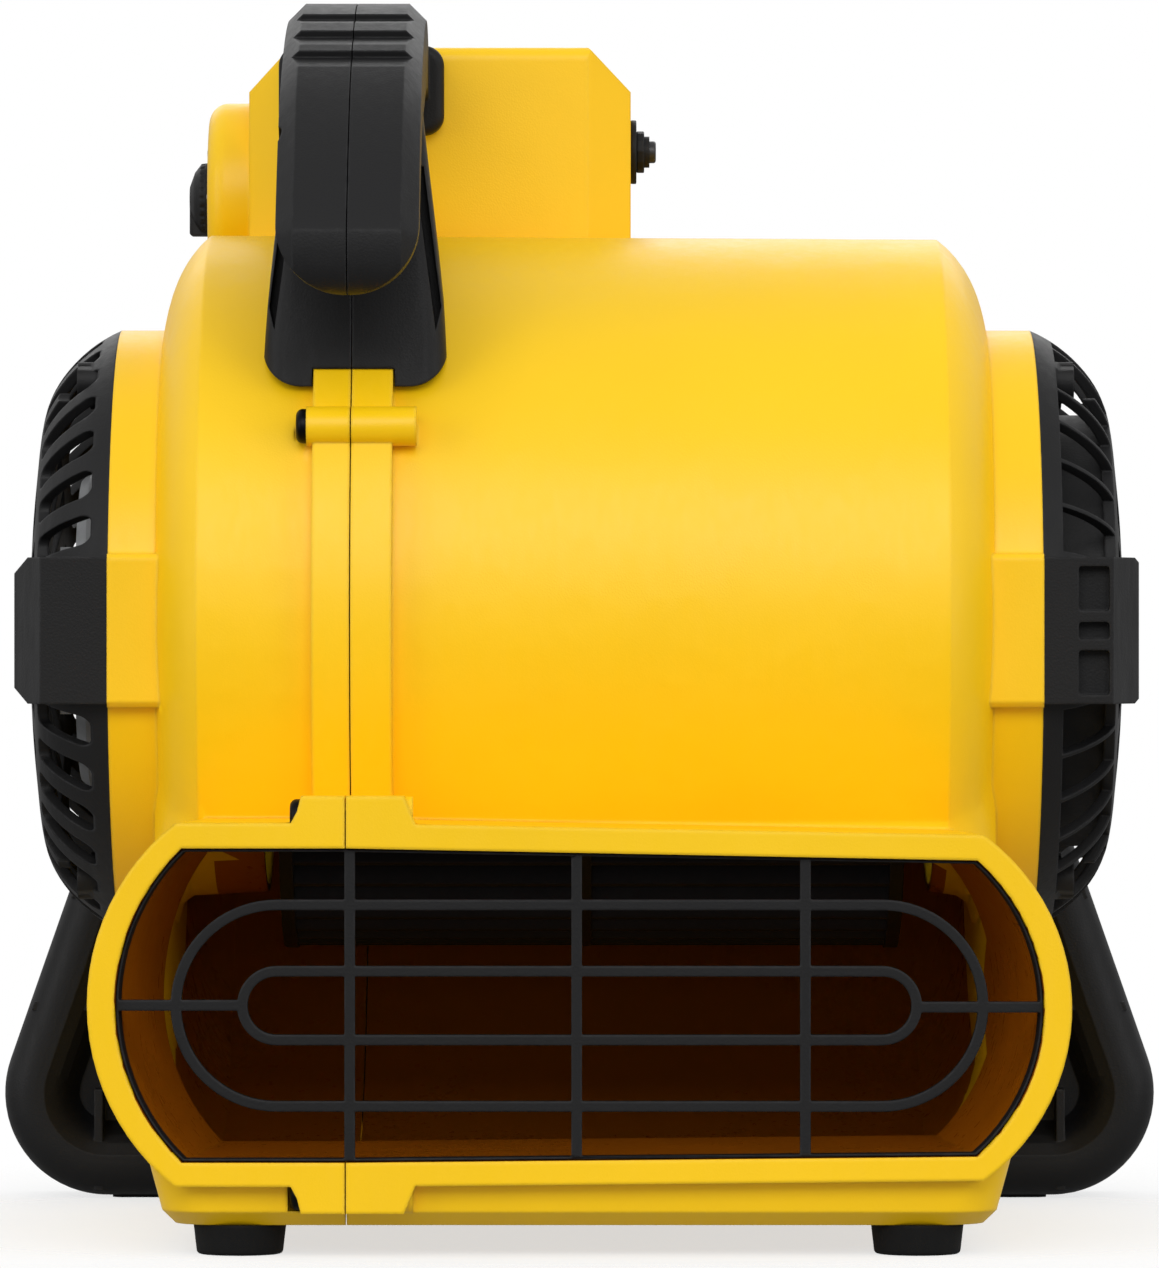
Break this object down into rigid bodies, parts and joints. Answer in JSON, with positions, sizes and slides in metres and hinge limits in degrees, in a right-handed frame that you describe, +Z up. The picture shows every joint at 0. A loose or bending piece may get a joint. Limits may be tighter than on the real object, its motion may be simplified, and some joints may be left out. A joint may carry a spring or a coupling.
{
  "type": "air mover",
  "caption": "Portable centrifugal air mover: moulded volute with a wide front outlet, domed side inlets, loop handle, control box and rear stand.",
  "frame": {"origin": "on the floor under the middle of the machine's bounding box", "axes": "+X along the fan axis to the breaker side, +Y to the rear stand, -Y out of the outlet, +Z up"},
  "size_m": [0.359, 0.31, 0.3641],
  "materials": {
    "yellow_shell": "fine moulded grain, satin",
    "black_plastic": "fine moulded grain, matte",
    "badge_plate": "smooth satin",
    "dial_grey": "printed satin",
    "rubber": "matte",
    "black_screw": "black oxide",
    "zinc_steel": "zinc plated",
    "bright_steel": "ground",
    "lamination_steel": "stacked sheets",
    "cast_aluminium": "cast",
    "bronze": "sintered",
    "copper": "enamelled",
    "breaker_red": "satin",
    "receptacle_dark": "satin",
    "test_black": "satin",
    "reset_red": "satin",
    "can_grey": "satin",
    "lead_black": "satin"
  },
  "bodies": {
    "machine": {"bracket_grommets": "rubber", "bracket_screws": "black_screw", "breaker_body": "black_plastic", "breaker_nut": "black_plastic", "breaker_plate": "black_plastic", "capacitor": "can_grey", "capacitor_clip": "zinc_steel", "cord_gland": "black_plastic", "dial_plate": "dial_grey", "foot_front_left": "rubber", "foot_front_right": "rubber", "foot_screws": "black_screw", "gland_locknut": "black_plastic", "guard_badge_left": "badge_plate", "guard_badge_right": "badge_plate", "guard_screws_left": "black_screw", "guard_screws_right": "black_screw", "handle_left": "black_plastic", "handle_mount_screws": "black_screw", "handle_right": "black_plastic", "handle_screws": "black_screw", "housing_left": "yellow_shell", "housing_right": "yellow_shell", "housing_screws": "black_screw", "inlet_guard_left": "black_plastic", "inlet_guard_right": "black_plastic", "motor_bearing_inner": "bronze", "motor_bearing_outer": "bronze", "motor_bracket": "zinc_steel", "motor_end_bell_inner": "cast_aluminium", "motor_end_bell_outer": "cast_aluminium", "motor_lead": "lead_black", "motor_stator": "lamination_steel", "motor_through_bolts": "zinc_steel", "motor_windings": "copper", "outlet_grille": "black_plastic", "outlet_receptacle": "receptacle_dark", "rear_stand": "black_plastic", "rear_stand_pads": "rubber", "rear_stand_screws": "black_screw", "receptacle_strap": "zinc_steel", "rotary_switch": "black_plastic"},
    "rotor": {"blower_wheel": "black_plastic", "wheel_hub": "cast_aluminium", "hub_set_screw": "zinc_steel", "motor_shaft": "bright_steel", "motor_rotor_core": "lamination_steel"},
    "knob": {"speed_knob": "black_plastic", "switch_shaft": "bright_steel"},
    "breaker_button": {"breaker_button": "breaker_red"},
    "test_button": {"test_button": "test_black"},
    "reset_button": {"reset_button": "reset_red"}
  },
  "joints": [
    {"name": "fan_spin", "type": "hinge", "parent": "machine", "child": "rotor", "pos_m": [0, 0.01, 0.177], "axis": [1, 0, 0], "continuous": true},
    {"name": "knob_turn", "type": "hinge", "parent": "machine", "child": "knob", "pos_m": [-0.1165, 0.081, 0.3097], "axis": [-1, 0, 0], "range_deg": [0, 135]},
    {"name": "breaker_press", "type": "slide", "parent": "machine", "child": "breaker_button", "axis": [-1, 0, 0], "range_m": [0, 0.0015], "stiffness_N_per_m": 800},
    {"name": "test_press", "type": "slide", "parent": "machine", "child": "test_button", "axis": [0, -1, 0], "range_m": [0, 0.0015], "stiffness_N_per_m": 800},
    {"name": "reset_press", "type": "slide", "parent": "machine", "child": "reset_button", "axis": [0, -1, 0], "range_m": [0, 0.0015], "stiffness_N_per_m": 800}
  ]
}
